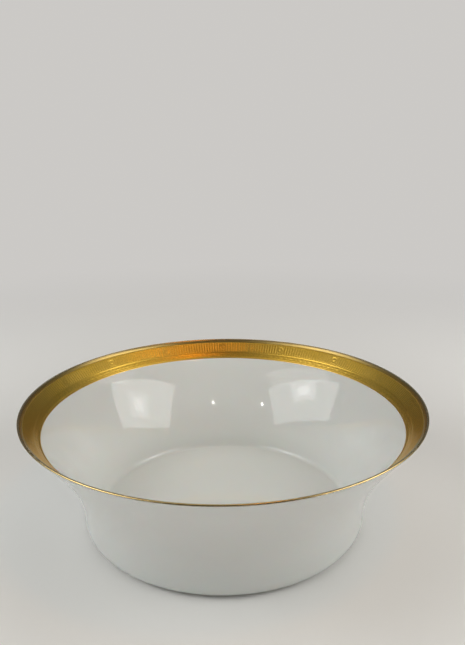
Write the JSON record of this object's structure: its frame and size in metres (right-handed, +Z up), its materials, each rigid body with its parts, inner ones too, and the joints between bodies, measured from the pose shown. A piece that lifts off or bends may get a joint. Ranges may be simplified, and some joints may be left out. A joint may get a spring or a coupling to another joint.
{
  "type": "serving bowl",
  "caption": "Round white porcelain serving bowl with a flared rim, an etched gold band on its inner face, a gold edge and a low foot.",
  "frame": {"origin": "centre of the foot's standing face, on the table", "axes": "+Z up, along the bowl's turning axis; X and Y are level and interchangeable"},
  "size_m": [0.245, 0.245, 0.078],
  "materials": {
    "glazed_porcelain": "clear gloss glaze",
    "foot_porcelain": "glazed sides, bare ground standing face",
    "burnished_gold": "burnished",
    "etched_gold": "satin, etched in low relief"
  },
  "bodies": {
    "root": {"bowl_body": "glazed_porcelain", "foot_ring": "foot_porcelain", "lip_gold": "burnished_gold", "etched_band": "etched_gold", "inner_gold_line": "burnished_gold"}
  },
  "joints": []
}
